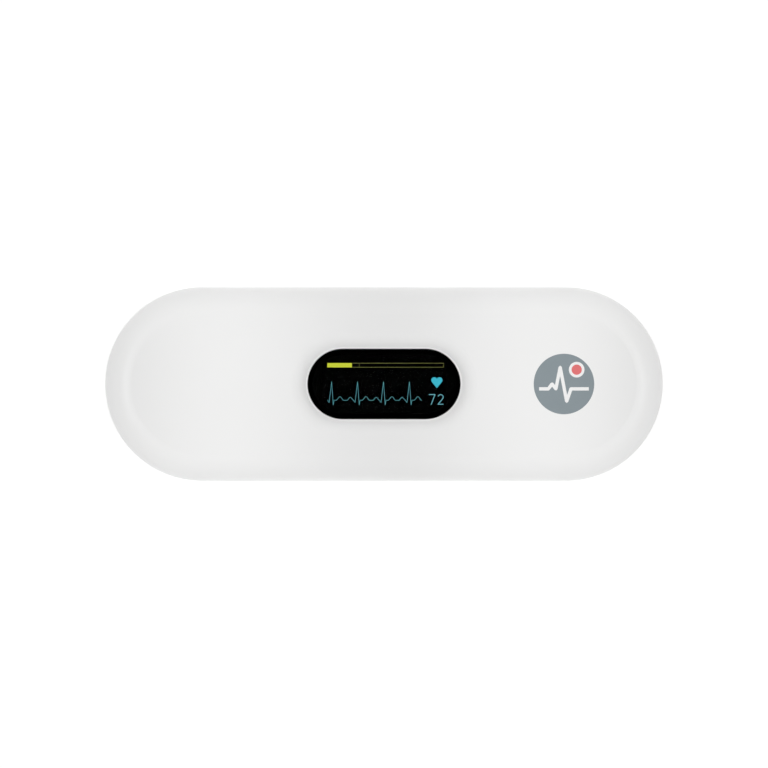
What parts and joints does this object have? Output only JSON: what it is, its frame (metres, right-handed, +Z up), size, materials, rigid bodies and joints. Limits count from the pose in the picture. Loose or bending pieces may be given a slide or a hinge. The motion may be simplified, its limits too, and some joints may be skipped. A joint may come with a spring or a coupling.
{
  "type": "handheld ecg monitor",
  "caption": "Pill-shaped handheld home ECG monitor with a dished display window, finger electrodes underneath, a side power key and a side charging socket.",
  "frame": {"origin": "centre of the plane that the two electrodes rest on, below the casing's centre", "axes": "+X along the casing, +Y towards the top edge of the displayed picture, +Z up out of the display window"},
  "size_m": [0.1034, 0.036, 0.0144],
  "materials": {
    "white_casing": "satin moulded",
    "white_casing_rear": "satin moulded",
    "black_window": "hard-coated gloss",
    "black_tape": "foam tape",
    "display_glass": "polished",
    "display_film": "film",
    "black_chip": "moulded epoxy",
    "amber_flex": "polyimide film",
    "cream_plastic": "moulded",
    "black_foam": "foam",
    "green_board": "solder mask",
    "white_ceramic": "fired",
    "tinned_can": "tinned",
    "tan_ceramic": "fired",
    "socket_steel": "drawn and plated",
    "black_plastic": "moulded",
    "gold_contact": "gold flashed",
    "white_key": "satin moulded",
    "foil_pouch": "laminated foil",
    "clear_tape": "tape",
    "red_sleeve": "extruded",
    "black_sleeve": "extruded",
    "electrode_steel": "fine brushed",
    "washer_steel": "stamped",
    "screw_steel": "zinc plated"
  },
  "bodies": {
    "casing": {"top_casing": "white_casing", "rear_cover": "white_casing_rear", "display_window": "black_window", "window_tape": "black_tape", "display_panel": "display_glass", "display_polariser": "display_film", "display_driver": "black_chip", "display_flex": "amber_flex", "display_connector": "cream_plastic", "display_pad": "black_foam", "circuit_board": "green_board", "processor": "black_chip", "signal_amplifier": "black_chip", "memory_chip": "black_chip", "charger_chip": "black_chip", "radio_antenna": "white_ceramic", "crystal": "tinned_can", "small_parts": "tan_ceramic", "charging_socket": "socket_steel", "socket_tongue": "black_plastic", "socket_contacts": "gold_contact", "switch_body": "black_plastic", "battery_cell": "foil_pouch", "battery_tape": "clear_tape", "battery_connector": "cream_plastic", "battery_lead_red": "red_sleeve", "battery_lead_black": "black_sleeve", "left_electrode": "electrode_steel", "right_electrode": "electrode_steel", "stud_washers": "washer_steel", "left_contact": "gold_contact", "right_contact": "gold_contact", "case_screws": "screw_steel", "board_screws": "screw_steel"},
    "key": {"power_key": "white_key", "switch_plunger": "cream_plastic"}
  },
  "joints": [
    {"name": "power_key_press", "type": "slide", "parent": "casing", "child": "key", "axis": [0, -1, 0], "range_m": [0, 0.0004], "stiffness_N_per_m": 2500, "springref_m": -0.0002}
  ]
}
